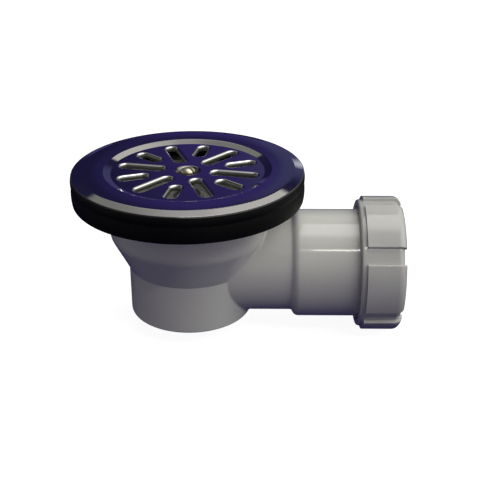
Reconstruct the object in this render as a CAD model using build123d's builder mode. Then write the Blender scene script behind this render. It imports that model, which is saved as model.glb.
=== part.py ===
from build123d import *
from math import atan2, cos, hypot, radians, tan
import os

os.makedirs("parts", exist_ok=True)

# Shower trap, in millimetres.
# The origin is where the trap's axis meets the plane under the grid flange's lip.
# +Z points up out of the drain and +X points along the outlet.

# Grid flange, pressed from bright sheet
flange_radius = 52.0
sheet = 0.9
crown_inset = 8.8
crown_z = 1.7
crown_bend = 80.0
crease_inset = 4.5
crease_bend = 3.5
lip_top_z = 0.62
lip_bend = 0.6
rim_width = 14.4
dish_edge_z = 1.4
dish_wall_run = 3.2
dish_floor_z = 0.2
dish_corner = 1.5
floor_corner = 1.0

# Radial slots of the grid
slot_pairs = 6
slot_width = 4.6
slot_outer_margin = 3.0
slot_inner_margin = 5.6
short_slot_start = 0.366
slot_turn = -10.8
slot_lip_bend = 1.4
slot_lip_depth = 2.2

# Screw in the middle of the grid
screw_radius = 2.5
screw_clearance = 0.3
screw_head_radius = 4.2
screw_rim_height = 0.5
screw_dome_rise = 1.2
screw_slot_width = 1.0
screw_slot_depth = 1.1
screw_slot_turn = -57.5
screw_length = 28.0
screw_point = 0.6
screw_tip_room = 1.0
seat_margin = 1.1
seat_corner = 1.4

# Rubber seals above and below the tray
seal_bulge = 0.3
top_seal_thickness = 4.0
cup_web = 3.5
skirt_wall = 2.5
skirt_drop = 0.8
bead_half_width = 3.7
bead_margin = 0.3
bead_height = 0.7
fit_gap = 0.1

# Trap body, one moulding
body_depth = 67.6
outlet_lift = 0.1
wall = 2.7
rim_thickness = 3.0
rim_corner = 0.6
band_radius = 36.2
band_end_z = -28.6
band_corner = 8.0
bowl_height = 23.1
cone_corner = 1.0
bowl_radius = 28.3
base_corner = 1.0
base_thickness = 2.6
ledge_z = -24.0
ledge_width = 2.2
weir_rise = 5.5
weir_inset = 0.3
pillar_radius = 7.0
pillar_top_z = -12.0
pillar_core_wall = 2.4
pillar_core_roof = 11.8
outlet_root_bend = 1.2

# Side outlet, whose bore is the bore of the pipe that goes into its socket
pipe_radius = 21.5
pipe_wall = 2.1
outlet_wall = 2.6
shoulder_start = 47.1
shoulder_run = 1.05
shoulder_roundness = 0.7
shoulder_root_share = 0.27
stop_offset = 2.2
socket_clearance = 0.3
socket_wall = 3.05
socket_depth = 40.65
thread_length = 12.5
thread_height = 1.35
seal_taper_length = 4.5
seal_taper_wall = 1.0

# Outlet nut, slip ring and seal
nut_skirt = 1.4
nut_wall = 2.95
nut_lip_corner = 0.9
nut_corner = 2.8
nut_end_wall = 2.0
thread_gap = 0.25
grip_setback = 2.4
grip_proud = 0.9
grip_height = 1.6
grip_root = 0.15
grip_corner = 3.6
grip_edge = 0.5
grip_count = 6
grip_angle = 45.5
grip_gap_turn = 28.2
pipe_gap = 0.4
slip_ring_thickness = 1.2
seal_head = 1.8

# Dip tube and its ring
insert_gap = 0.3
insert_height = 11.0
insert_wall = 1.8
dip_radius = 17.0
dip_floor_gap = 6.0
funnel_depth = 7.0
groove_rise = 7.0
groove_height = 2.6
groove_depth = 1.8
ring_gap = 0.05

# Brass insert
insert_radius = 4.4
insert_length = 12.0
collar_width = 1.0
collar_height = 1.2
thread_clearance = 0.05


# Sizes worked out from the ones above
crown_radius = flange_radius - crown_inset
dish_radius = flange_radius - rim_width
seat_radius = screw_head_radius + seat_margin
screw_hole_radius = screw_radius + screw_clearance
seat_depth = seat_radius - screw_hole_radius
head_rim_z = dish_floor_z - seat_margin
screw_end_z = dish_floor_z - screw_length
slot_outer_end = dish_radius - dish_wall_run - slot_outer_margin
long_slot_inner_end = seat_radius + slot_inner_margin
short_slot_inner_end = long_slot_inner_end + short_slot_start * (slot_outer_end - long_slot_inner_end)
seal_radius = flange_radius + seal_bulge
seal_bore = crown_radius - bead_half_width - bead_margin
cup_seal_top_z = -top_seal_thickness
rim_radius = flange_radius - skirt_wall - fit_gap
rim_top_z = cup_seal_top_z - cup_web
rim_bottom_z = rim_top_z - rim_thickness
cup_seal_bottom_z = rim_bottom_z - skirt_drop
throat_radius = band_radius - wall
bowl_bore = bowl_radius - wall
ledge_radius = throat_radius - ledge_width
cone_end_z = bowl_height - body_depth
floor_z = base_thickness - body_depth
dip_end_z = floor_z + dip_floor_gap
screw_hole_end_z = screw_end_z - screw_tip_room
outlet_bore = pipe_radius - pipe_wall
outlet_radius = outlet_bore + outlet_wall
outlet_z = outlet_radius + outlet_lift - body_depth
weir_z = outlet_z + weir_rise
shoulder_end = shoulder_start + shoulder_run
pipe_stop = shoulder_end + stop_offset
socket_end = pipe_stop + socket_depth
socket_bore = pipe_radius + socket_clearance
socket_radius = socket_bore + socket_wall
thread_start = socket_end - thread_length
thread_radius = socket_radius + thread_height
outlet_plane = Plane(origin=(0, 0, outlet_z), x_dir=(1, 0, 0), z_dir=(0, -1, 0))
outlet_axis = Axis((0, 0, outlet_z), (1, 0, 0))


def axis_distance(edge):
    """Distance of an edge's middle from the outlet's axis."""
    middle = edge.center()
    return hypot(middle.Y, middle.Z - outlet_z)


# Grid flange
# The upper face runs from the screw's seat, over the dished floor, the flat crown and the crease
# where the rim turns down, to the lip.
with BuildPart() as grid_flange:
    with BuildSketch(Plane.XZ):
        with BuildLine():
            FilletPolyline(
                (screw_hole_radius, dish_floor_z - seat_depth),
                (seat_radius, dish_floor_z),
                (dish_radius - dish_wall_run, dish_floor_z),
                (dish_radius, dish_edge_z),
                (crown_radius, crown_z),
                (flange_radius - crease_inset, crown_z),
                (flange_radius, lip_top_z),
                (flange_radius, 0),
                radius=(seat_corner, floor_corner, dish_corner, crown_bend, crease_bend, lip_bend),
            )
            offset(amount=sheet, side=Side.RIGHT, kind=Kind.INTERSECTION)
        make_face()
    revolve(axis=Axis.Z)
    # Each slot has a lip pressed down round it.
    for inner_end, turn in ((long_slot_inner_end, 0), (short_slot_inner_end, 180 / slot_pairs)):
        slot_middle = (slot_outer_end + inner_end) / 2
        slot_length = slot_outer_end - inner_end
        with BuildSketch(Plane.XY.offset(dish_floor_z - slot_lip_depth)):
            with PolarLocations(slot_middle, slot_pairs, slot_turn + turn):
                SlotOverall(slot_length + 2 * sheet, slot_width + 2 * sheet)
        extrude(amount=slot_lip_depth - sheet / 2)
        with BuildSketch(Plane.XY.offset(dish_floor_z - slot_lip_depth)):
            with PolarLocations(slot_middle, slot_pairs, slot_turn + turn):
                SlotOverall(slot_length, slot_width)
        extrude(amount=slot_lip_depth, mode=Mode.SUBTRACT)
    floor_edges = grid_flange.edges().filter_by_position(
        Axis.Z, dish_floor_z - fit_gap, dish_floor_z + fit_gap
    )
    slot_rims = floor_edges.filter_by(
        lambda edge: edge.geom_type == GeomType.LINE or edge.radius < slot_width
    )
    fillet(slot_rims, slot_lip_bend)
    # The rim's lip stands flat on the seal.
    with BuildSketch(Plane.XY):
        Circle(flange_radius + sheet)
        Circle(seal_bore - fit_gap, mode=Mode.SUBTRACT)
    extrude(amount=-sheet, mode=Mode.SUBTRACT)
grid_flange.part.label = "grid_flange"
export_step(grid_flange.part, "parts/grid_flange.step")


# Grid screw, a slotted raised countersunk head
with BuildPart() as grid_screw:
    with BuildSketch(Plane.XZ):
        with BuildLine():
            dome_edge = (screw_head_radius, head_rim_z + screw_rim_height)
            dome_top = (0, dome_edge[1] + screw_dome_rise)
            Polyline(
                dome_top,
                (0, screw_end_z),
                (screw_radius - screw_point, screw_end_z),
                (screw_radius, screw_end_z + screw_point),
                (screw_radius, head_rim_z - (screw_head_radius - screw_radius)),
                (screw_head_radius, head_rim_z),
                dome_edge,
            )
            dome_mid_drop = screw_dome_rise / 4
            ThreePointArc(dome_edge, (screw_head_radius / 2, dome_top[1] - dome_mid_drop), dome_top)
        make_face()
    revolve(axis=Axis.Z)
    with BuildSketch(Plane.XY.offset(dome_top[1])):
        Rectangle(3 * screw_head_radius, screw_slot_width, rotation=screw_slot_turn)
    extrude(amount=-screw_slot_depth, mode=Mode.SUBTRACT)
grid_screw.part.label = "grid_screw"
export_step(grid_screw.part, "parts/grid_screw.step")


# Seal between the flange and the tray, with a raised bead in the hollow under the flange's crown
with BuildPart() as tray_top_seal:
    with BuildSketch(Plane.XZ):
        with BuildLine():
            Polyline(
                (flange_radius, cup_seal_top_z),
                (seal_bore, cup_seal_top_z),
                (seal_bore, 0),
                (crown_radius - bead_half_width, 0),
            )
            ThreePointArc(
                (crown_radius - bead_half_width, 0),
                (crown_radius, bead_height),
                (crown_radius + bead_half_width, 0),
            )
            Line((crown_radius + bead_half_width, 0), (flange_radius, 0))
            ThreePointArc(
                (flange_radius, 0),
                (seal_radius, cup_seal_top_z / 2),
                (flange_radius, cup_seal_top_z),
            )
        make_face()
    revolve(axis=Axis.Z)
tray_top_seal.part.label = "tray_top_seal"
export_step(tray_top_seal.part, "parts/tray_top_seal.step")


# Cup seal under the tray, with a skirt round the body's rim
with BuildPart() as tray_cup_seal:
    with BuildSketch(Plane.XZ):
        with BuildLine():
            side_middle_z = (cup_seal_top_z + cup_seal_bottom_z) / 2
            Polyline(
                (flange_radius, cup_seal_top_z),
                (seal_bore, cup_seal_top_z),
                (seal_bore, rim_top_z),
                (rim_radius + fit_gap, rim_top_z),
                (rim_radius + fit_gap, cup_seal_bottom_z),
                (flange_radius, cup_seal_bottom_z),
            )
            ThreePointArc(
                (flange_radius, cup_seal_bottom_z),
                (seal_radius, side_middle_z),
                (flange_radius, cup_seal_top_z),
            )
        make_face()
    revolve(axis=Axis.Z)
tray_cup_seal.part.label = "tray_cup_seal"
export_step(tray_cup_seal.part, "parts/tray_cup_seal.step")


# Trap body
# Its round sections are drawn on the side away from the outlet.
body_plane = Plane(origin=(0, 0, 0), x_dir=(-1, 0, 0), z_dir=(0, 1, 0))
shoulder_rise = socket_radius - outlet_radius
shoulder_turn = atan2(shoulder_rise, shoulder_run)
shoulder_room = hypot(shoulder_run, shoulder_rise) / tan(shoulder_turn / 2)
cone_rise = (band_radius - bowl_radius) / (band_end_z - cone_end_z)
cone_tilt = atan2(band_radius - bowl_radius, band_end_z - cone_end_z)
cone_bore_shift = wall / cos(cone_tilt)
weir_radius = bowl_radius + (weir_z - cone_end_z) * cone_rise
cone_bore_end_z = cone_end_z + (cone_bore_shift - wall) / cone_rise
cone_bore_start_z = cone_end_z + (ledge_radius - bowl_radius + cone_bore_shift) / cone_rise

with BuildPart() as trap_body:
    with BuildSketch(body_plane):
        with BuildLine():
            FilletPolyline(
                (0, -body_depth),
                (bowl_radius, -body_depth),
                (bowl_radius, cone_end_z),
                (band_radius, band_end_z),
                (band_radius, rim_bottom_z),
                (rim_radius, rim_bottom_z),
                (rim_radius, rim_top_z),
                (0, rim_top_z),
                radius=(0, base_corner, cone_corner, band_corner, rim_corner, rim_corner, rim_corner, 0),
                close=True,
            )
        make_face()
    revolve(axis=Axis.Z)
    with BuildSketch(outlet_plane):
        with BuildLine():
            FilletPolyline(
                (0, 0),
                (0, outlet_radius),
                (shoulder_start, outlet_radius),
                (shoulder_end, socket_radius),
                (thread_start, socket_radius),
                (thread_start + thread_radius - socket_radius, thread_radius),
                (socket_end, thread_radius),
                (socket_end, 0),
                radius=(
                    0,
                    0,
                    shoulder_room * shoulder_root_share,
                    shoulder_room * shoulder_roundness,
                    0,
                    0,
                    rim_corner,
                    0,
                ),
                close=True,
            )
        make_face()
    revolve(axis=outlet_axis)
    outlet_root = trap_body.edges(Select.NEW).filter_by_position(Axis.X, 0, band_radius)
    root_room = rim_bottom_z - rim_corner - outlet_z - outlet_radius
    fillet(outlet_root, min(outlet_root_bend, root_room - fit_gap))
    # Bore of the outlet, the stop for the pipe and the taper for the seal
    with BuildSketch(outlet_plane):
        with BuildLine():
            Polyline(
                (0, 0),
                (0, outlet_bore),
                (pipe_stop, outlet_bore),
                (pipe_stop, socket_bore),
                (socket_end - seal_taper_length, socket_bore),
                (socket_end, thread_radius - seal_taper_wall),
                (socket_end, 0),
                close=True,
            )
        make_face()
    revolve(axis=outlet_axis, mode=Mode.SUBTRACT)
    # The bowl's wall stands across the outlet's mouth up to the weir.
    with BuildSketch(body_plane):
        with BuildLine():
            Polyline(
                (0, base_corner - body_depth),
                (bowl_radius - weir_inset, base_corner - body_depth),
                (bowl_radius - weir_inset, cone_end_z),
                (weir_radius - weir_inset, weir_z),
                (0, weir_z),
                close=True,
            )
        make_face()
    revolve(axis=Axis.Z)
    # Inside of the throat, the cone and the bowl
    with BuildSketch(body_plane):
        with BuildLine():
            Polyline(
                (0, floor_z),
                (bowl_bore, floor_z),
                (bowl_bore, cone_bore_end_z),
                (ledge_radius, cone_bore_start_z),
                (ledge_radius, ledge_z),
                (throat_radius, ledge_z),
                (throat_radius, rim_top_z),
                (0, rim_top_z),
                close=True,
            )
        make_face()
    revolve(axis=Axis.Z, mode=Mode.SUBTRACT)
    # Pillar for the screw, cored from below
    with BuildSketch(Plane.XY.offset(floor_z - base_thickness / 2)):
        Circle(pillar_radius)
    extrude(amount=pillar_top_z - floor_z + base_thickness / 2)
    with BuildSketch(Plane.XY.offset(-body_depth)):
        Circle(pillar_radius - pillar_core_wall)
    extrude(amount=screw_hole_end_z - pillar_core_roof + body_depth, mode=Mode.SUBTRACT)
    with BuildSketch(Plane.XY.offset(pillar_top_z)):
        Circle(insert_radius)
    extrude(amount=-insert_length, mode=Mode.SUBTRACT)
    with BuildSketch(Plane.XY.offset(pillar_top_z)):
        Circle(screw_radius + screw_clearance)
    extrude(amount=screw_hole_end_z - pillar_top_z, mode=Mode.SUBTRACT)
trap_body.part.label = "trap_body"
export_step(trap_body.part, "parts/trap_body.step")


# Brass insert in the pillar, with its collar on the pillar's top
with BuildPart() as screw_insert:
    with BuildSketch(Plane.XY.offset(pillar_top_z - insert_length)):
        Circle(insert_radius)
    extrude(amount=insert_length)
    with BuildSketch(Plane.XY.offset(pillar_top_z)):
        Circle(insert_radius + collar_width)
    extrude(amount=collar_height)
    with BuildSketch(Plane.XY.offset(pillar_top_z + collar_height)):
        Circle(screw_radius + thread_clearance)
    extrude(amount=-insert_length - collar_height, mode=Mode.SUBTRACT)
screw_insert.part.label = "screw_insert"
export_step(screw_insert.part, "parts/screw_insert.step")


# Dip tube, a ring, a funnel and a tube in one, standing on the ledge in the throat
insert_top_z = ledge_z + insert_height
groove_top_z = ledge_z + groove_rise
funnel_end_z = ledge_z - funnel_depth
insert_outer = throat_radius - insert_gap
groove_radius = insert_outer - groove_depth
insert_bore = groove_radius - insert_wall
funnel_start = ledge_radius - insert_gap
with BuildPart() as dip_tube:
    with BuildSketch(Plane.XZ):
        with BuildLine():
            Polyline(
                (insert_outer, insert_top_z),
                (insert_outer, groove_top_z),
                (groove_radius, groove_top_z),
                (groove_radius, groove_top_z - groove_height),
                (insert_outer, groove_top_z - groove_height),
                (insert_outer, ledge_z),
                (funnel_start, ledge_z),
                (dip_radius, funnel_end_z),
                (dip_radius, dip_end_z),
                (dip_radius - insert_wall, dip_end_z),
                (dip_radius - insert_wall, funnel_end_z + insert_wall / 2),
                (insert_bore, ledge_z + insert_wall),
                (insert_bore, insert_top_z),
                close=True,
            )
        make_face()
    revolve(axis=Axis.Z)
dip_tube.part.label = "dip_tube"
export_step(dip_tube.part, "parts/dip_tube.step")


# Ring in the dip tube's groove
ring_section = (throat_radius - groove_radius) / 2 - ring_gap
with BuildPart() as dip_tube_o_ring:
    with BuildSketch(Plane.XZ):
        with Locations(((throat_radius + groove_radius) / 2, groove_top_z - groove_height / 2)):
            Circle(ring_section)
    revolve(axis=Axis.Z)
dip_tube_o_ring.part.label = "dip_tube_o_ring"
export_step(dip_tube_o_ring.part, "parts/dip_tube_o_ring.step")


# Outlet nut
nut_bore = thread_radius + thread_gap
nut_lip_radius = nut_bore + nut_wall
nut_start = thread_start - nut_skirt
slip_ring_x = socket_end + seal_head
nut_wall_x = slip_ring_x + slip_ring_thickness
nut_end = nut_wall_x + nut_end_wall
grip_start = nut_start + grip_setback
grip_end = nut_end + grip_proud
grip_radius = nut_lip_radius + grip_height
grip_inner_radius = nut_bore + grip_root
pipe_hole = pipe_radius + pipe_gap + socket_clearance
with BuildPart() as outlet_nut:
    with BuildSketch(outlet_plane):
        with BuildLine():
            FilletPolyline(
                (grip_start, grip_inner_radius),
                (grip_start, grip_radius),
                (grip_end, grip_radius),
                (grip_end, grip_inner_radius),
                radius=(0, 0, grip_corner, 0),
                close=True,
            )
        make_face()
    revolve(axis=outlet_axis)
    # Wedges cut between the grips
    gap_half_angle = radians(180 / grip_count - grip_angle / 2)
    wedge_reach = 2 * grip_radius
    with BuildSketch(Plane(origin=(grip_start, 0, outlet_z), x_dir=(0, 1, 0), z_dir=(1, 0, 0))):
        with PolarLocations(0, grip_count, grip_gap_turn):
            Polygon(
                (0, 0),
                (wedge_reach, -wedge_reach * tan(gap_half_angle)),
                (wedge_reach, wedge_reach * tan(gap_half_angle)),
                align=None,
            )
    extrude(amount=grip_end - grip_start, mode=Mode.SUBTRACT)
    grip_sides = outlet_nut.edges().filter_by(Axis.X)
    fillet(grip_sides.filter_by(lambda edge: axis_distance(edge) > nut_lip_radius), grip_edge)
    with BuildSketch(outlet_plane):
        with BuildLine():
            FilletPolyline(
                (nut_start, nut_bore),
                (nut_start, nut_lip_radius),
                (nut_end, nut_lip_radius),
                (nut_end, pipe_hole),
                (nut_wall_x, pipe_hole),
                (nut_wall_x, nut_bore),
                radius=(0, nut_lip_corner, nut_corner, 0, 0, 0),
                close=True,
            )
        make_face()
    revolve(axis=outlet_axis)
outlet_nut.part.label = "outlet_nut"
export_step(outlet_nut.part, "parts/outlet_nut.step")


# Slip ring against the nut's end wall
with BuildPart() as slip_ring:
    with BuildSketch(Plane(origin=(slip_ring_x, 0, outlet_z), x_dir=(0, 1, 0), z_dir=(1, 0, 0))):
        Circle(thread_radius)
        Circle(pipe_radius + pipe_gap, mode=Mode.SUBTRACT)
    extrude(amount=slip_ring_thickness)
slip_ring.part.label = "slip_ring"
export_step(slip_ring.part, "parts/slip_ring.step")


# Tapered seal in the socket's mouth
seal_inner = pipe_radius + fit_gap
taper_mouth = thread_radius - seal_taper_wall - fit_gap
taper_root = socket_bore - fit_gap / 2
with BuildPart() as outlet_seal:
    with BuildSketch(outlet_plane):
        with BuildLine():
            Polyline(
                (socket_end - seal_taper_length, seal_inner),
                (socket_end - seal_taper_length, taper_root),
                (socket_end, taper_mouth),
                (socket_end, thread_radius - fit_gap),
                (slip_ring_x, thread_radius - fit_gap),
                (slip_ring_x, seal_inner),
                close=True,
            )
        make_face()
    revolve(axis=outlet_axis)
outlet_seal.part.label = "outlet_seal"
export_step(outlet_seal.part, "parts/outlet_seal.step")
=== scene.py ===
"""Shower trap: the finish of every piece, the threaded grid screw and the studio, in metres."""

import logging
import math
from dataclasses import dataclass, field, replace
from enum import Enum

import bpy
from mathutils import Euler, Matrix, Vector


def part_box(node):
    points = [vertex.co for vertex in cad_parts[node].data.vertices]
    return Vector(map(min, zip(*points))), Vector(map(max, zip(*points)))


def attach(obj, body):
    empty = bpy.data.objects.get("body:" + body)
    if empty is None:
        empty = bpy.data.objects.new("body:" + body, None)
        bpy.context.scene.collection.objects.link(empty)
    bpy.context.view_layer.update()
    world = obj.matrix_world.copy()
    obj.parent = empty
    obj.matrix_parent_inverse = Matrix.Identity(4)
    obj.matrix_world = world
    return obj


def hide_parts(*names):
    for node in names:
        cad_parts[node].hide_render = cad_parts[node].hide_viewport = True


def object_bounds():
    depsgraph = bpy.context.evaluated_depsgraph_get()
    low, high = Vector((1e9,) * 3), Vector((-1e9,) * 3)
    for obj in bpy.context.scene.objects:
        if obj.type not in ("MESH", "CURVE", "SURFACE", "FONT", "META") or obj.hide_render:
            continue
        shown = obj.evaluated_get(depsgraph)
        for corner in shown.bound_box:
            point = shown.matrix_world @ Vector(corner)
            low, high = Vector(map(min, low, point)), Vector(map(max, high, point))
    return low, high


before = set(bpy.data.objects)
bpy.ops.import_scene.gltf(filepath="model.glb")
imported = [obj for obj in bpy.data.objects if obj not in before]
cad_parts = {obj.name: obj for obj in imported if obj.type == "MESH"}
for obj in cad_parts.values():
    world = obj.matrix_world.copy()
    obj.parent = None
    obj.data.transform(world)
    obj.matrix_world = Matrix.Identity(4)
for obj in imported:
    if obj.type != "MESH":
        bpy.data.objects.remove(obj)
cad_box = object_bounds()

logging.basicConfig(level=logging.INFO, format="%(levelname)s %(message)s")
log = logging.getLogger("shower_trap")

MM = 0.001
BODY = "root"

Colour = tuple[float, float, float]
Socket = bpy.types.NodeSocket
SocketValue = float | tuple[float, ...] | Socket

# The span that most of a noise texture's values lie in
NOISE_SPAN = (0.3, 0.7)
# The least that a direction's part is taken to be when a slope is divided by it
LEAST_PART = 0.01


def rgba(colour: Colour) -> tuple[float, float, float, float]:
    """Return a colour with full alpha."""
    return (*colour, 1.0)


class Graph:
    """A node tree, with short calls that add nodes and join them."""

    def __init__(self, tree: bpy.types.NodeTree) -> None:
        """Start on an empty tree.

        Args:
            tree: the node tree of a material, a world or a group.
        """
        self.tree = tree
        self.tree.nodes.clear()

    def add(
        self, kind: str, sockets: dict[str | int, SocketValue] | None = None, **settings: object
    ) -> bpy.types.Node:
        """Add one node.

        Args:
            kind: the node's type, such as ShaderNodeMath.
            sockets: a value or an output socket for each input, by name or by place.
            settings: the node's own options.

        Returns:
            The new node.
        """
        node = self.tree.nodes.new(kind)
        for name, value in settings.items():
            setattr(node, name, value)
        for key, value in (sockets or {}).items():
            if isinstance(value, Socket):
                self.tree.links.new(value, node.inputs[key])
            else:
                node.inputs[key].default_value = value
        return node

    def math(self, operation: str, *values: SocketValue) -> Socket:
        """Add a Math node and return its output."""
        return self.add("ShaderNodeMath", dict(enumerate(values)), operation=operation).outputs[0]

    def radius(self, x: SocketValue, y: SocketValue) -> Socket:
        """Add the distance from the trap's axis and return its output."""
        return self.math("SQRT", self.math("MULTIPLY_ADD", x, x, self.math("MULTIPLY", y, y)))

    def ramp(self, value: SocketValue, low: float, high: float) -> Socket:
        """Add a smooth step from 0 at low to 1 at high and return its output."""
        node = self.add(
            "ShaderNodeMapRange",
            {"Value": value, "From Min": low, "From Max": high},
            interpolation_type="SMOOTHSTEP",
        )
        return node.outputs[0]

    def window(self, value: SocketValue, low: float, high: float, soft: float) -> Socket:
        """Add a mask that is 1 between low and high, with soft edges, and return its output."""
        rise = self.ramp(value, low - soft, low + soft)
        fall = self.ramp(value, high - soft, high + soft)
        return self.math("SUBTRACT", rise, fall)

    def rise(self, value: SocketValue, low: float, high: float) -> Socket:
        """Add a smooth step between two heights, given as angles above the floor in degrees."""
        return self.ramp(value, math.sin(math.radians(low)), math.sin(math.radians(high)))

    def mix(self, factor: SocketValue, first: SocketValue, second: SocketValue) -> Socket:
        """Add a colour mix, by the places of the node's colour sockets, and return its output."""
        node = self.add("ShaderNodeMix", {0: factor, 6: first, 7: second}, data_type="RGBA")
        return node.outputs[2]

    def blend(
        self, value: SocketValue, span: tuple[float, float], first: SocketValue, second: SocketValue
    ) -> Socket:
        """Add a colour mix that runs from one colour to the other over a span of a value."""
        ends = [rgba(end) if isinstance(end, tuple) else end for end in (first, second)]
        return self.mix(self.ramp(value, *span), *ends)

    def add_light(self, so_far: SocketValue, mask: Socket, colour: Colour) -> Socket:
        """Add a masked colour to the light so far and return the sum."""
        values = {0: mask, 1: colour, 2: so_far}
        return self.add("ShaderNodeVectorMath", values, operation="MULTIPLY_ADD").outputs[0]


def new_group(
    name: str, inputs: dict[str, float], outputs: tuple[str, ...]
) -> bpy.types.NodeTree:
    """Start a shader node group that works on Object coordinates.

    Args:
        name: the group's name.
        inputs: each input's name and usual value.
        outputs: the names of its outputs, all single values.

    Returns:
        The group's empty node tree.
    """
    group = bpy.data.node_groups.new(name, "ShaderNodeTree")
    for title, value in inputs.items():
        socket = group.interface.new_socket(title, in_out="INPUT", socket_type="NodeSocketFloat")
        socket.default_value = value
    for title in outputs:
        group.interface.new_socket(title, in_out="OUTPUT", socket_type="NodeSocketFloat")
    return group


def moulding_group() -> bpy.types.NodeTree:
    """Build the group for a moulded surface: slow sinks, fine grain and a slow change of tone."""
    group = new_group(
        "moulded_surface",
        {"Sink Scale": 45.0, "Grain Scale": 2600.0, "Grain Share": 0.03},
        ("Height", "Tone"),
    )
    graph = Graph(group)
    inputs = graph.add("NodeGroupInput")
    place = graph.add("ShaderNodeTexCoord").outputs["Object"]
    sink_scale = inputs.outputs["Sink Scale"]
    sink = graph.add("ShaderNodeTexNoise", {"Vector": place, "Scale": sink_scale, "Detail": 1.0})
    grain_scale = inputs.outputs["Grain Scale"]
    grain = graph.add("ShaderNodeTexNoise", {"Vector": place, "Scale": grain_scale, "Detail": 2.0})
    tone_share = 0.6
    tone_scale = graph.math("MULTIPLY", sink_scale, tone_share)
    tone = graph.add("ShaderNodeTexNoise", {"Vector": place, "Scale": tone_scale, "Detail": 3.0})
    grain_height = graph.math("MULTIPLY", grain.outputs[0], inputs.outputs["Grain Share"])
    height = graph.math("ADD", sink.outputs[0], grain_height)
    graph.add("NodeGroupOutput", {"Height": height, "Tone": tone.outputs[0]})
    return group


def turning_group() -> bpy.types.NodeTree:
    """Build the group for fine rings round the trap's axis, as polishing or turning leaves them."""
    group = new_group("turned_rings", {"Ring Pitch": 0.0004, "Uneven": 0.5}, ("Height", "Streak"))
    graph = Graph(group)
    inputs = graph.add("NodeGroupInput")
    place = graph.add("ShaderNodeTexCoord").outputs["Object"]
    x, y, z = graph.add("ShaderNodeSeparateXYZ", {"Vector": place}).outputs
    count = graph.math("DIVIDE", graph.radius(x, y), inputs.outputs["Ring Pitch"])
    steps_per_metre = 900.0
    rise = graph.math("MULTIPLY", z, steps_per_metre)
    step = graph.add("ShaderNodeCombineXYZ", {"X": count, "Z": rise}).outputs[0]
    rings = graph.add("ShaderNodeTexNoise", {"Vector": step, "Scale": 1.0, "Detail": 3.0})
    patch_scale = 60.0
    patch = graph.add("ShaderNodeTexNoise", {"Vector": place, "Scale": patch_scale, "Detail": 2.0})
    faded = graph.math("MULTIPLY", patch.outputs[0], inputs.outputs["Uneven"])
    streak = graph.math("MULTIPLY", rings.outputs[0], graph.math("SUBTRACT", 1.0, faded))
    graph.add("NodeGroupOutput", {"Height": rings.outputs[0], "Streak": streak})
    return group


class Effect(Enum):
    """The surface effects that several finishes share."""

    MOULDING = "moulded_surface"
    TURNING = "turned_rings"

    def tree(self) -> bpy.types.NodeTree:
        """Return the effect's node group, built once."""
        builders = {Effect.MOULDING: moulding_group, Effect.TURNING: turning_group}
        return bpy.data.node_groups.get(self.value) or builders[self]()


@dataclass(frozen=True)
class Finish:
    """A finish: its colour, its gloss and the marks its making left."""

    name: str
    effect: Effect
    settings: tuple[tuple[str, float], ...]
    dark: Colour
    light: Colour
    rough_low: float
    rough_high: float
    bump: float
    bump_depth: float
    metallic: float = 0.0
    ior: float = 1.5
    coat: float = 0.0
    coat_rough: float = 0.03

    def paint_shade(self, graph: Graph, colour: Socket, rough: Socket) -> tuple[Socket, Socket]:
        """Return the colour and the roughness as they are, for a finish with no painted shade."""
        return colour, rough

    def build(self) -> bpy.types.Material:
        """Make the material, or return it if it's already made.

        Returns:
            The material, with its tone, gloss and bump from the shared effect.
        """
        made = bpy.data.materials.get(self.name)
        if made:
            return made
        material = bpy.data.materials.new(self.name)
        material.use_nodes = True
        graph = Graph(material.node_tree)
        effect = graph.add("ShaderNodeGroup", node_tree=self.effect.tree())
        for name, value in self.settings:
            effect.inputs[name].default_value = value
        height, mask = effect.outputs[0], effect.outputs[1]
        colour = graph.mix(graph.ramp(mask, *NOISE_SPAN), rgba(self.dark), rgba(self.light))
        rough = graph.add(
            "ShaderNodeMapRange",
            {
                "Value": mask,
                "From Min": NOISE_SPAN[0],
                "From Max": NOISE_SPAN[1],
                "To Min": self.rough_low,
                "To Max": self.rough_high,
            },
        )
        # Finishes with painted shade darken the colour here.
        colour, gloss = self.paint_shade(graph, colour, rough.outputs[0])
        bump = graph.add(
            "ShaderNodeBump",
            {"Strength": self.bump, "Distance": self.bump_depth, "Height": height},
        )
        shader = graph.add(
            "ShaderNodeBsdfPrincipled",
            {
                "Base Color": colour,
                "Roughness": gloss,
                "Metallic": self.metallic,
                "IOR": self.ior,
                "Coat Weight": self.coat,
                "Coat Roughness": self.coat_rough,
                "Normal": bump.outputs[0],
            },
        )
        graph.add("ShaderNodeOutputMaterial", {"Surface": shader.outputs[0]})
        return material


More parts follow.
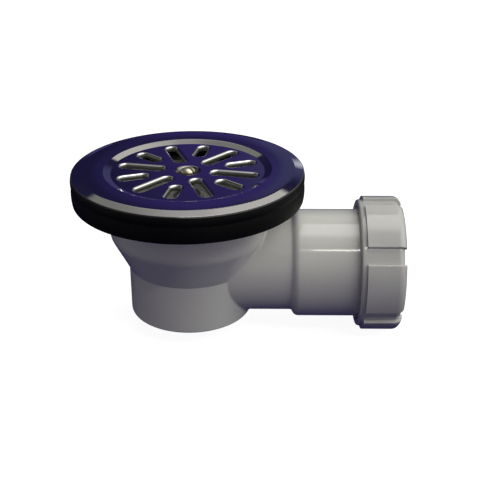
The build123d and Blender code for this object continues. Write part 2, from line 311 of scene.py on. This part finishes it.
@dataclass(frozen=True)
class PlatedPressing(Finish):
    """Plating that is bright on the face, with painted shade darkening the slot walls below the face,
    the cut edge and the screw's seat; the slots and the edge are also rougher.
    """

    # Painted shade on the slot walls, full below the second height, in this tone; the slots are also
    # rougher
    bright_above: float = -0.1 * MM
    recess_below: float = -0.5 * MM
    recess_shade_tone: Colour = (0.21, 0.21, 0.20)
    recess_rough: float = 0.45
    # Painted shade in the screw's seat, inside this radius
    shade_radius: float = 6.0 * MM
    shade_soft: float = 0.8 * MM
    shade_tone: Colour = (0.32, 0.31, 0.31)
    # Painted shade on the cut edge outside this radius, so it catches no highlight
    edge_radius: float = 51.55 * MM
    edge_soft: float = 0.12 * MM
    edge_shade_tone: Colour = (0.07, 0.07, 0.07)

    def paint_shade(self, graph: Graph, colour: Socket, rough: Socket) -> tuple[Socket, Socket]:
        """Paint shade down the slot walls below the face, on the cut edge and in the screw's seat,
        and make the slots and the edge rougher.

        Args:
            graph: the material's graph.
            colour: the plating's colour.
            rough: the plating's roughness.

        Returns:
            The colour with the three patches of painted shade, and the roughness, higher in the slots
            and on the edge.
        """
        place = graph.add("ShaderNodeTexCoord").outputs["Object"]
        x, y, z = graph.add("ShaderNodeSeparateXYZ", {"Vector": place}).outputs
        radius = graph.radius(x, y)
        face = graph.ramp(z, self.recess_below, self.bright_above)
        edge_low, edge_high = self.edge_radius - self.edge_soft, self.edge_radius + self.edge_soft
        edge = graph.ramp(radius, edge_low, edge_high)
        seat = graph.ramp(radius, self.shade_radius - self.shade_soft, self.shade_radius)
        # Painted shade in the screw's seat
        colour = graph.mix(seat, rgba(self.shade_tone), colour)
        # Painted shade down the slot walls
        colour = graph.mix(face, rgba(self.recess_shade_tone), colour)
        # Painted shade on the cut edge
        colour = graph.mix(edge, colour, rgba(self.edge_shade_tone))
        dull = graph.math("MAXIMUM", edge, graph.math("SUBTRACT", 1.0, face))
        extra = graph.math("MULTIPLY", dull, self.recess_rough)
        return colour, graph.math("ADD", rough, extra)


@dataclass(frozen=True)
class PlatedHead(Finish):
    """Plating on a screw's head that is bright on top, with painted shade: dark brown round its low
    rim where it meets its seat, and dark in its slot.
    """

    # Painted shade round the head's rim, between these radii and below these heights, in this brown
    bright_radius: float = 2.9 * MM
    shade_radius: float = 3.5 * MM
    bright_above: float = 1.2 * MM
    shade_below: float = -0.2 * MM
    shade_tone: Colour = (0.16, 0.115, 0.06)
    slot_turn: float = -37.5
    slot_half: float = 0.46 * MM
    slot_soft: float = 0.06 * MM
    # Painted shade in the driver's slot
    slot_shade_tone: Colour = (0.05, 0.045, 0.035)

    def paint_shade(self, graph: Graph, colour: Socket, rough: Socket) -> tuple[Socket, Socket]:
        """Paint shade, dark brown, round the head's low rim and paint shade in the slot.

        Args:
            graph: the material's graph.
            colour: the plating's colour.
            rough: the plating's roughness.

        Returns:
            The colour with painted shade round the rim and in the slot, and the roughness as it is.
        """
        place = graph.add("ShaderNodeTexCoord").outputs["Object"]
        x, y, z = graph.add("ShaderNodeSeparateXYZ", {"Vector": place}).outputs
        radius = graph.radius(x, y)
        # Painted shade: dark brown round the head's low rim, where it meets its seat
        rim = graph.ramp(radius, self.bright_radius, self.shade_radius)
        low = graph.math("SUBTRACT", 1.0, graph.ramp(z, self.shade_below, self.bright_above))
        colour = graph.mix(graph.math("MULTIPLY", rim, low), colour, rgba(self.shade_tone))
        # Painted shade in the driver's slot
        turn = math.radians(self.slot_turn)
        aside = graph.math("MULTIPLY", y, -math.cos(turn))
        aside = graph.math("ABSOLUTE", graph.math("MULTIPLY_ADD", x, math.sin(turn), aside))
        slot = graph.ramp(aside, self.slot_half, self.slot_half + self.slot_soft)
        return graph.mix(slot, rgba(self.slot_shade_tone), colour), rough


MOULDED_WHITE = Finish(
    name="moulded_white_plastic",
    effect=Effect.MOULDING,
    settings=(("Sink Scale", 40.0), ("Grain Scale", 2400.0), ("Grain Share", 0.02)),
    dark=(0.76, 0.755, 0.735),
    light=(0.82, 0.815, 0.795),
    rough_low=0.12,
    rough_high=0.17,
    bump=0.2,
    bump_depth=0.0005,
    ior=1.42,
    coat=0.5,
)
MOULDED_NUT = replace(
    MOULDED_WHITE,
    name="moulded_nut_plastic",
    settings=(("Sink Scale", 55.0), ("Grain Scale", 2400.0), ("Grain Share", 0.02)),
    dark=(0.65, 0.645, 0.64),
    light=(0.70, 0.695, 0.69),
)
POLISHED_CHROME = PlatedPressing(
    name="polished_chrome",
    effect=Effect.TURNING,
    settings=(("Ring Pitch", 0.0005), ("Uneven", 0.7)),
    dark=(0.90, 0.90, 0.92),
    light=(0.95, 0.95, 0.96),
    rough_low=0.05,
    rough_high=0.08,
    bump=0.015,
    bump_depth=0.0001,
    metallic=1.0,
)
PLATED_BRASS = PlatedHead(
    name="nickel_plated_brass",
    effect=Effect.TURNING,
    settings=(("Ring Pitch", 0.0006), ("Uneven", 0.6)),
    dark=(0.82, 0.76, 0.62),
    light=(0.93, 0.89, 0.78),
    rough_low=0.36,
    rough_high=0.42,
    bump=0.02,
    bump_depth=0.0001,
    metallic=1.0,
)
MACHINED_BRASS = Finish(
    name="machined_brass",
    effect=Effect.TURNING,
    settings=(("Ring Pitch", 0.0001), ("Uneven", 0.4)),
    dark=(0.62, 0.42, 0.16),
    light=(0.80, 0.60, 0.28),
    rough_low=0.22,
    rough_high=0.34,
    bump=0.1,
    bump_depth=0.0001,
    metallic=1.0,
)
SEAL_RUBBER = Finish(
    name="seal_rubber",
    effect=Effect.MOULDING,
    settings=(("Sink Scale", 60.0), ("Grain Scale", 3200.0), ("Grain Share", 0.06)),
    dark=(0.0014, 0.0013, 0.0013),
    light=(0.0026, 0.0024, 0.0024),
    rough_low=0.52,
    rough_high=0.66,
    bump=0.3,
    bump_depth=0.0004,
    ior=1.32,
)
RING_PLASTIC = Finish(
    name="slip_ring_plastic",
    effect=Effect.MOULDING,
    settings=(("Sink Scale", 80.0), ("Grain Scale", 2600.0), ("Grain Share", 0.05)),
    dark=(0.66, 0.67, 0.66),
    light=(0.74, 0.75, 0.74),
    rough_low=0.34,
    rough_high=0.44,
    bump=0.25,
    bump_depth=0.0004,
)


def dress(node: str, finish: Finish) -> None:
    """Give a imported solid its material.

    Args:
        node: the solid's name.
        finish: the finish that takes the place of its plain one.
    """
    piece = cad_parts[node]
    piece.data.materials.clear()
    piece.data.materials.append(finish.build())
    log.info("%s: %s", node, finish.name)


def start_mesh(name: str) -> bpy.types.Object:
    """Name the primitive that was just added and deselect its mesh.

    Args:
        name: the new piece's name.

    Returns:
        The piece, in object mode.
    """
    piece = bpy.context.object
    piece.name = name
    bpy.ops.object.mode_set(mode="EDIT")
    bpy.ops.mesh.select_all(action="DESELECT")
    bpy.ops.object.mode_set(mode="OBJECT")
    return piece


def settle(piece: bpy.types.Object) -> None:
    """Move a piece's place, turn and scale into its mesh, so that its object is at the origin.

    Args:
        piece: the piece that was just added or joined.
    """
    bpy.ops.object.select_all(action="DESELECT")
    piece.select_set(True)
    bpy.context.view_layer.objects.active = piece
    bpy.ops.object.transform_apply(location=True, rotation=True, scale=True)


def apply_modifiers(piece: bpy.types.Object) -> None:
    """Apply each of a piece's modifiers in turn.

    Args:
        piece: the piece that carries them.
    """
    bpy.ops.object.select_all(action="DESELECT")
    piece.select_set(True)
    bpy.context.view_layer.objects.active = piece
    for modifier in list(piece.modifiers):
        bpy.ops.object.modifier_apply(modifier=modifier.name)


@dataclass
class GridFlange:
    """The pressed metal flange with its slotted, dished grid."""

    node: str = "grid_flange"
    finish: Finish = POLISHED_CHROME

    def build(self) -> None:
        """Dress the flange."""
        dress(self.node, self.finish)


@dataclass
class GridScrew:
    """The slotted screw in the middle of the grid and the brass insert that it runs into.

    Sizes are in metres. The tip and the dome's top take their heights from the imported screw, and
    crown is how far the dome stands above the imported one.
    """

    node: str = "grid_screw"
    slot: str = "screw_metal"
    insert: str = "screw_insert"
    shank_radius: float = 2.05 * MM
    thread_radius: float = 2.5 * MM
    thread_pitch: float = 0.8 * MM
    thread_length: float = 20.0 * MM
    thread_land: float = 0.12 * MM
    thread_share: float = 0.84
    thread_steps: int = 32
    head_radius: float = 4.0 * MM
    rim_height: float = 0.25 * MM
    dome_radius: float = 3.5 * MM
    dome_rise: float = 2.3 * MM
    crown: float = 0.87 * MM
    dome_steps: int = 14
    slot_width: float = 1.0 * MM
    slot_depth: float = 1.2 * MM
    slot_turn: float = PLATED_BRASS.slot_turn
    edge: float = 0.08 * MM
    sharp_angle: float = 60.0
    point: float = 0.6 * MM
    sides: int = 96
    weld: float = 0.002 * MM
    smooth_angle: float = 30.0
    finish: Finish = PLATED_BRASS
    insert_finish: Finish = MACHINED_BRASS

    def grow_ring(self, rise: float, share: float) -> None:
        """Extrude the selected face by a rise and scale it about the screw's axis."""
        bpy.ops.mesh.extrude_region_move(TRANSFORM_OT_translate={"value": (0, 0, rise)})
        bpy.ops.transform.resize(value=(share, share, 1.0))

    def blank(self, low: float, high: float) -> bpy.types.Object:
        """Turn the screw without its slot or thread.

        Args:
            low: the height of the tip.
            high: the height of the dome's top.

        Returns:
            The blank.
        """
        cone = self.head_radius - self.shank_radius
        foot = high - self.dome_rise - self.rim_height - cone
        length = foot - low - self.point
        bpy.ops.object.select_all(action="DESELECT")
        bpy.ops.mesh.primitive_cylinder_add(
            vertices=self.sides,
            radius=self.shank_radius,
            depth=length,
            location=(0, 0, foot - length / 2),
        )
        piece = start_mesh("grid_screw_turned")
        top = max(piece.data.polygons, key=lambda face: face.center.z)
        top.select = True
        bpy.ops.object.mode_set(mode="EDIT")
        bpy.ops.mesh.select_mode(type="FACE")
        self.grow_ring(cone, self.head_radius / self.shank_radius)
        self.grow_ring(self.rim_height, 1.0)
        self.grow_ring(0.0, self.dome_radius / self.head_radius)
        before_radius, before_rise = self.dome_radius, 0.0
        for step in range(1, self.dome_steps):
            angle = math.pi / 2 * step / self.dome_steps
            radius, rise = self.dome_radius * math.cos(angle), self.dome_rise * math.sin(angle)
            self.grow_ring(rise - before_rise, radius / before_radius)
            before_radius, before_rise = radius, rise
        bpy.ops.mesh.select_all(action="DESELECT")
        bpy.ops.object.mode_set(mode="OBJECT")
        tip = min(piece.data.polygons, key=lambda face: face.center.z)
        tip.select = True
        bpy.ops.object.mode_set(mode="EDIT")
        self.grow_ring(-self.point, 1.0 - self.point / self.shank_radius)
        bpy.ops.object.mode_set(mode="OBJECT")
        return piece

    def cut_slot(self, piece: bpy.types.Object, high: float) -> None:
        """Cut the driver's slot across the head and soften the sharpest edges.

        Args:
            piece: the blank.
            high: the height of the dome's top.
        """
        bpy.ops.object.select_all(action="DESELECT")
        bpy.ops.mesh.primitive_cube_add(
            size=1.0,
            location=(0, 0, high),
            rotation=(0, 0, math.radians(self.slot_turn)),
            scale=(3 * self.head_radius, self.slot_width, 2 * self.slot_depth),
        )
        cutter = bpy.context.object
        modifier = piece.modifiers.new("slot", "BOOLEAN")
        modifier.operation = "DIFFERENCE"
        modifier.object = cutter
        modifier.solver = "EXACT"
        bevel = piece.modifiers.new("edges", "BEVEL")
        bevel.width = self.edge
        bevel.segments = 2
        bevel.limit_method = "ANGLE"
        bevel.angle_limit = math.radians(self.sharp_angle)
        apply_modifiers(piece)
        bpy.data.objects.remove(cutter)

    def thread(self, low: float) -> bpy.types.Object:
        """Wind the thread's ridge round the shank.

        Args:
            low: the height at which the thread starts.

        Returns:
            The ridge.
        """
        root = self.shank_radius - self.thread_land
        depth = self.thread_radius - root
        foot = self.thread_pitch * self.thread_share
        middle = root + depth / 2
        bpy.ops.object.select_all(action="DESELECT")
        bpy.ops.mesh.primitive_plane_add(
            size=1.0, location=(middle, 0, low), rotation=(math.pi / 2, 0, 0)
        )
        piece = start_mesh("grid_screw_thread")
        settle(piece)
        bpy.ops.object.mode_set(mode="EDIT")
        bpy.ops.mesh.select_mode(type="VERT")
        bpy.ops.mesh.select_all(action="SELECT")
        bpy.ops.transform.resize(value=(depth, 1.0, foot))
        bpy.ops.mesh.select_all(action="DESELECT")
        bpy.ops.object.mode_set(mode="OBJECT")
        for vertex in piece.data.vertices:
            vertex.select = vertex.co.x > middle
        bpy.ops.object.mode_set(mode="EDIT")
        bpy.ops.transform.resize(value=(1.0, 1.0, self.thread_land / foot))
        bpy.ops.object.mode_set(mode="OBJECT")
        winding = piece.modifiers.new("winding", "SCREW")
        winding.angle = 2 * math.pi
        winding.screw_offset = self.thread_pitch
        winding.iterations = round(self.thread_length / self.thread_pitch)
        winding.steps = winding.render_steps = self.thread_steps
        winding.use_merge_vertices = True
        winding.merge_threshold = self.weld
        apply_modifiers(piece)
        bpy.ops.object.mode_set(mode="EDIT")
        bpy.ops.mesh.select_all(action="SELECT")
        bpy.ops.mesh.fill_holes(sides=0)
        bpy.ops.object.mode_set(mode="OBJECT")
        return piece

    def build(self) -> None:
        """Make the screw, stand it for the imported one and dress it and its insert."""
        (_, _, low), (_, _, high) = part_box(self.node)
        high += self.crown
        screw = self.blank(low, high)
        self.cut_slot(screw, high)
        ridge = self.thread(low + self.point + self.thread_pitch)
        bpy.ops.object.select_all(action="DESELECT")
        ridge.select_set(True)
        screw.select_set(True)
        bpy.context.view_layer.objects.active = screw
        bpy.ops.object.join()
        settle(screw)
        bpy.ops.object.mode_set(mode="EDIT")
        bpy.ops.mesh.select_all(action="SELECT")
        bpy.ops.mesh.remove_doubles(threshold=self.weld)
        bpy.ops.mesh.normals_make_consistent(inside=False)
        bpy.ops.object.mode_set(mode="OBJECT")
        bpy.ops.object.shade_smooth_by_angle(angle=math.radians(self.smooth_angle))
        screw.data.materials.clear()
        screw.data.materials.append(self.finish.build())
        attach(screw, BODY)
        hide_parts(self.node)
        log.info("%s: threaded and slotted, %s", screw.name, self.finish.name)
        dress(self.insert, self.insert_finish)


@dataclass
class TraySeals:
    """The two black rubber seals that grip the tray."""

    nodes: tuple[str, ...] = ("tray_top_seal", "tray_cup_seal")
    finish: Finish = SEAL_RUBBER

    def build(self) -> None:
        """Dress both seals."""
        for node in self.nodes:
            dress(node, self.finish)


@dataclass
class TrapBody:
    """The white moulding with the throat, the cone, the bowl and the side outlet."""

    node: str = "trap_body"
    finish: Finish = MOULDED_WHITE

    def build(self) -> None:
        """Dress the moulding."""
        dress(self.node, self.finish)


@dataclass
class DipTube:
    """The lift-out funnel and tube, with its ring."""

    tube: str = "dip_tube"
    ring: str = "dip_tube_o_ring"
    tube_finish: Finish = MOULDED_WHITE
    ring_finish: Finish = SEAL_RUBBER

    def build(self) -> None:
        """Dress the tube and its ring."""
        dress(self.tube, self.tube_finish)
        dress(self.ring, self.ring_finish)


@dataclass
class OutletCoupling:
    """The nut with its grips, the slip ring and the tapered seal in the socket's mouth."""

    nut: str = "outlet_nut"
    ring: str = "slip_ring"
    seal: str = "outlet_seal"
    nut_finish: Finish = MOULDED_NUT
    ring_finish: Finish = RING_PLASTIC
    seal_finish: Finish = SEAL_RUBBER

    def build(self) -> None:
        """Dress the three pieces."""
        dress(self.nut, self.nut_finish)
        dress(self.ring, self.ring_finish)
        dress(self.seal, self.seal_finish)


class Side(Enum):
    """The sides of the studio that glow, each with the direction in which it lies."""

    FRONT = (0.0, -1.0)
    RIGHT = (1.0, 0.0)
    LEFT = (-1.0, 0.0)


@dataclass(frozen=True)
class Glow:
    """Light from one side of the studio, between two heights given as angles above the floor."""

    side: Side
    start: float
    end: float
    colour: Colour


@dataclass(frozen=True)
class Softbox:
    """A flat bright panel overhead, with its edges as slopes from the upright."""

    left: float
    right: float
    near: float
    far: float
    soft: float
    colour: Colour


@dataclass(frozen=True)
class BackWall:
    """The wall behind the trap: a dark curtain, a pale strip above and a bright gap at the right.

    Heights are angles above the floor. Places across the wall are slopes to the right.
    """

    left: float = -1.2
    right: float = 0.4
    curtain_top: float = 33.5
    wall_top: float = 64.0
    edge: float = 1.2
    side_edge: float = 0.1
    curtain_left: Colour = (0.0105, 0.0085, 0.037)
    curtain_middle: Colour = (0.028, 0.019, 0.105)
    curtain_right: Colour = (0.044, 0.043, 0.108)
    curtain_foot: Colour = (0.045, 0.040, 0.115)
    curtain_head: Colour = (0.012, 0.0110, 0.036)
    foot_height: float = 9.0
    head_start: float = 19.5
    head_end: float = 29.0
    shade_left: tuple[float, float] = (-0.18, -0.06)
    shade_right: tuple[float, float] = (-0.04, 0.03)
    gap_left: float = 0.185
    gap_top: float = 16.5
    gap_edge: float = 0.02
    gap_colour: Colour = (0.44, 0.45, 0.54)
    wall_left: Colour = (0.17, 0.17, 0.155)
    wall_middle: Colour = (0.36, 0.345, 0.335)
    wall_right: Colour = (0.47, 0.45, 0.42)
    pale_left: tuple[float, float] = (-0.45, -0.05)
    pale_right: tuple[float, float] = (-0.02, 0.12)
    fade_start: float = 50.0
    fade_share: float = 0.72

    def hang(self, graph: Graph, x: Socket, y: Socket, z: Socket, light: Socket) -> Socket:
        """Put the wall in front of the light from the rest of the studio.

        Args:
            graph: the world's graph.
            x: the ray's part to the right.
            y: the ray's part to the back.
            z: the ray's part upwards.
            light: the light from the rest of the studio.

        Returns:
            The light with the wall in place.
        """
        across = graph.math("DIVIDE", x, graph.math("MAXIMUM", y, LEAST_PART))
        curtain = graph.blend(across, self.shade_left, self.curtain_left, self.curtain_middle)
        curtain = graph.blend(across, self.shade_right, curtain, self.curtain_right)
        foot = graph.rise(z, self.foot_height / 3, self.foot_height)
        curtain = graph.mix(foot, rgba(self.curtain_foot), curtain)
        head = graph.rise(z, self.head_start, self.head_end)
        curtain = graph.mix(head, curtain, rgba(self.curtain_head))
        gap = graph.ramp(across, self.gap_left - self.gap_edge, self.gap_left + self.gap_edge)
        cover = graph.rise(z, self.gap_top - self.edge, self.gap_top + self.edge)
        gap = graph.math("MULTIPLY", gap, graph.math("SUBTRACT", 1.0, cover))
        curtain = graph.mix(gap, curtain, rgba(self.gap_colour))
        wall = graph.blend(across, self.pale_left, self.wall_left, self.wall_middle)
        wall = graph.blend(across, self.pale_right, wall, self.wall_right)
        fade = graph.rise(z, self.fade_start, self.wall_top)
        fade = graph.math("MULTIPLY_ADD", fade, self.fade_share - 1.0, 1.0)
        wall = graph.add("ShaderNodeVectorMath", {0: wall, 3: fade}, operation="SCALE").outputs[0]
        upper = graph.rise(z, self.curtain_top - self.edge, self.curtain_top + self.edge)
        both = graph.mix(upper, curtain, wall)
        above = graph.rise(z, self.wall_top - self.edge, self.wall_top + self.edge)
        behind = graph.math("GREATER_THAN", y, 0.0)
        width = graph.window(across, self.left, self.right, self.side_edge)
        below = graph.math("SUBTRACT", 1.0, above)
        mask = graph.math("MULTIPLY", below, graph.math("MULTIPLY", behind, width))
        return graph.mix(mask, light, both)


@dataclass(frozen=True)
class Lamp:
    """A rectangular light: its place, its size, its power in watts and its colour."""

    name: str
    place: tuple[float, float, float]
    size: tuple[float, float]
    power: float
    colour: Colour


@dataclass
class Studio:
    """The floor, the surround, the lamps and the camera."""

    floor_size: float = 12.0
    floor_shade: Colour = (0.40, 0.40, 0.41)
    floor_white: float = 0.93
    floor_glow: Colour = (0.010, 0.008, 0.052)
    aim_height: float = -0.03
    edge_soft: float = 0.04
    wall: BackWall = BackWall()
    ceiling_start: float = 64.0
    ceiling_edge: float = 1.2
    ceiling: Colour = (0.30, 0.30, 0.29)
    glows: tuple[Glow, ...] = (
        Glow(Side.RIGHT, 0, 33, (0.95, 0.93, 0.88)),
        Glow(Side.RIGHT, 33, 60, (1.85, 1.9, 1.7)),
        Glow(Side.FRONT, 0, 33, (0.17, 0.15, 0.165)),
        Glow(Side.LEFT, 0, 33, (0.50, 0.50, 0.47)),
    )
    glow_spread: float = 2.0
    softboxes: tuple[Softbox, ...] = (
        Softbox(-0.08, 0.44, -0.12, 0.56, 0.13, (2.25, 2.22, 2.14)),
    )
    lamps: tuple[Lamp, ...] = (
        Lamp("strip", (0.567, -0.672, 0.80), (0.9, 0.046), 2.05, (1.0, 1.0, 0.94)),
    )
    camera_place: tuple[float, float, float] = (30.64, -395.06, 156.81)
    camera_drop: float = 26.168
    camera_turn: float = 0.684
    camera_roll: float = -0.086
    focal_pixels: float = 949.05
    picture_width: float = 492.0
    sensor: float = 36.0
    clip_start: float = 0.01

    def floor(self) -> None:
        """Lay a white floor under the lowest point, dim where it would only throw light back up."""
        bpy.ops.object.select_all(action="DESELECT")
        bpy.ops.mesh.primitive_plane_add(size=self.floor_size, location=(0, 0, cad_box[0][2]))
        floor = bpy.context.object
        floor.name = "studio_floor"
        material = bpy.data.materials.new("studio_floor")
        material.use_nodes = True
        graph = Graph(material.node_tree)
        seen = graph.add("ShaderNodeLightPath").outputs["Is Camera Ray"]
        shaded = graph.add("ShaderNodeBsdfDiffuse", {"Color": rgba(self.floor_shade)})
        white = graph.add(
            "ShaderNodeEmission", {"Color": rgba((1.0, 1.0, 1.0)), "Strength": self.floor_white}
        )
        pale = graph.add("ShaderNodeAddShader", {0: shaded.outputs[0], 1: white.outputs[0]})
        dim = graph.add("ShaderNodeEmission", {"Color": rgba(self.floor_glow)})
        both = graph.add(
            "ShaderNodeMixShader", {0: seen, 1: dim.outputs[0], 2: pale.outputs[0]}
        ).outputs[0]
        graph.add("ShaderNodeOutputMaterial", {"Surface": both})
        floor.data.materials.append(material)

    def surround(self) -> None:
        """Make the surround from its glows and softboxes, and white to the camera itself."""
        world = bpy.data.worlds.new("studio")
        world.use_nodes = True
        bpy.context.scene.world = world
        graph = Graph(world.node_tree)
        way = graph.add("ShaderNodeTexCoord").outputs["Generated"]
        x, y, z = graph.add("ShaderNodeSeparateXYZ", {"Vector": way}).outputs
        level = graph.add("ShaderNodeCombineXYZ", {"X": x, "Y": y}).outputs[0]
        level = graph.add("ShaderNodeVectorMath", {0: level}, operation="NORMALIZE").outputs[0]
        light: SocketValue = (0.0, 0.0, 0.0)
        for glow in self.glows:
            facing = {0: level, 1: (*glow.side.value, 0.0)}
            along = graph.add("ShaderNodeVectorMath", facing, operation="DOT_PRODUCT").outputs[1]
            lobe = graph.math("POWER", graph.math("MAXIMUM", along, 0.0), self.glow_spread)
            start, end = math.sin(math.radians(glow.start)), math.sin(math.radians(glow.end))
            band = graph.window(z, start, end, self.edge_soft)
            light = graph.add_light(light, graph.math("MULTIPLY", lobe, band), glow.colour)
        roof_low = self.ceiling_start - self.ceiling_edge
        roof_high = self.ceiling_start + self.ceiling_edge
        roof = graph.rise(z, roof_low, roof_high)
        light = graph.add_light(light, roof, self.ceiling)
        height = graph.math("MAXIMUM", z, LEAST_PART)
        across, ahead = graph.math("DIVIDE", x, height), graph.math("DIVIDE", y, height)
        for box in self.softboxes:
            width = graph.window(across, box.left, box.right, box.soft)
            depth = graph.window(ahead, box.near, box.far, box.soft)
            light = graph.add_light(light, graph.math("MULTIPLY", width, depth), box.colour)
        light = self.wall.hang(graph, x, y, z, light)
        seen = graph.add("ShaderNodeLightPath").outputs["Is Camera Ray"]
        colour = graph.mix(seen, light, rgba((1.0, 1.0, 1.0)))
        back = graph.add("ShaderNodeBackground", {"Color": colour})
        graph.add("ShaderNodeOutputWorld", {"Surface": back.outputs[0]})

    def hang(self, lamp: Lamp) -> None:
        """Hang one lamp level along X, facing the trap's height.

        Args:
            lamp: the lamp's place, size, power and colour.
        """
        data = bpy.data.lights.new(lamp.name, "AREA")
        data.shape = "RECTANGLE"
        data.size, data.size_y = lamp.size
        data.energy = lamp.power
        data.color = lamp.colour
        light = bpy.data.objects.new(lamp.name, data)
        bpy.context.scene.collection.objects.link(light)
        light.location = lamp.place
        aim = Vector((lamp.place[0], 0.0, self.aim_height))
        light.rotation_euler = (aim - Vector(lamp.place)).to_track_quat("-Z", "Y").to_euler()

    def camera(self) -> None:
        """Place the camera where the photograph was taken from."""
        data = bpy.data.cameras.new("camera")
        data.sensor_width = self.sensor
        data.lens = self.focal_pixels / self.picture_width * self.sensor
        data.clip_start = self.clip_start
        camera = bpy.data.objects.new("camera", data)
        bpy.context.scene.collection.objects.link(camera)
        camera.location = Vector(self.camera_place) * MM
        tilt = math.radians(90 - self.camera_drop)
        turn = Euler((tilt, 0, math.radians(self.camera_turn))).to_matrix()
        roll = Euler((0, 0, math.radians(self.camera_roll))).to_matrix()
        camera.rotation_euler = (turn @ roll).to_euler()
        bpy.context.scene.camera = camera

    def build(self) -> None:
        """Set the whole studio up."""
        self.floor()
        self.surround()
        for lamp in self.lamps:
            self.hang(lamp)
        self.camera()
        bpy.context.scene.view_settings.view_transform = "Standard"


@dataclass
class ShowerTrap:
    """The whole trap, as the sub-assemblies that it comes apart into."""

    flange: GridFlange = field(default_factory=GridFlange)
    screw: GridScrew = field(default_factory=GridScrew)
    seals: TraySeals = field(default_factory=TraySeals)
    body: TrapBody = field(default_factory=TrapBody)
    dip_tube: DipTube = field(default_factory=DipTube)
    outlet: OutletCoupling = field(default_factory=OutletCoupling)

    def build(self) -> None:
        """Build the sub-assemblies from the grid down."""
        for part in (self.flange, self.screw, self.seals, self.body, self.dip_tube, self.outlet):
            part.build()


def main() -> None:
    """Build and dress each piece and set the studio up."""
    ShowerTrap().build()
    Studio().build()


if __name__ == "__main__":
    main()
